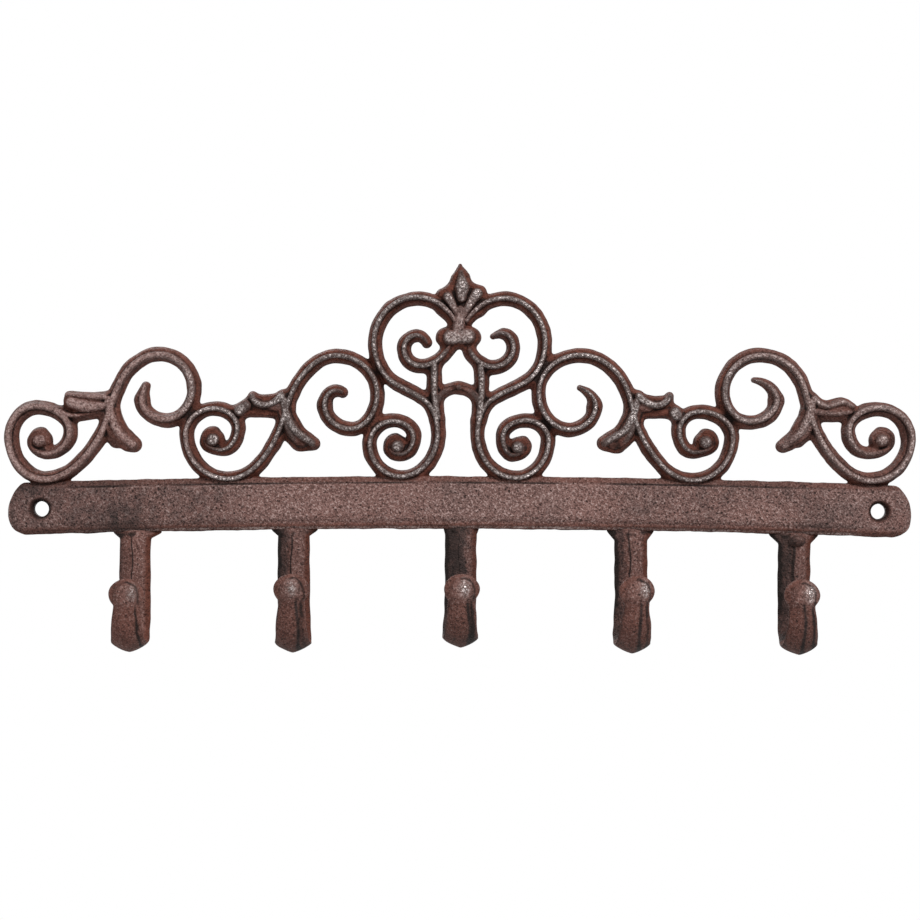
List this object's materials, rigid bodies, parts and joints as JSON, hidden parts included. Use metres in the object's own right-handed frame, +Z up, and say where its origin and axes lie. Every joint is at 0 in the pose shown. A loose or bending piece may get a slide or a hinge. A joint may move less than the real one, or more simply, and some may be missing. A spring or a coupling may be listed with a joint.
{
  "type": "wall coat rack",
  "caption": "Cast-iron wall coat rack: a bowed rail with a row of upturned hooks below and a crest of scrollwork with a leaf finial above.",
  "frame": {"origin": "midway between the two screw holes, on the flat back face that lies on the wall", "axes": "+X along the rail to the right as seen from the front, +Y into the wall, +Z up; the hooks point to -Y"},
  "size_m": [0.4372, 0.0359, 0.186],
  "materials": {
    "iron": "antique brown, rubbed bright on the crests"
  },
  "bodies": {
    "root": {"coat_rack": "iron"}
  },
  "joints": []
}
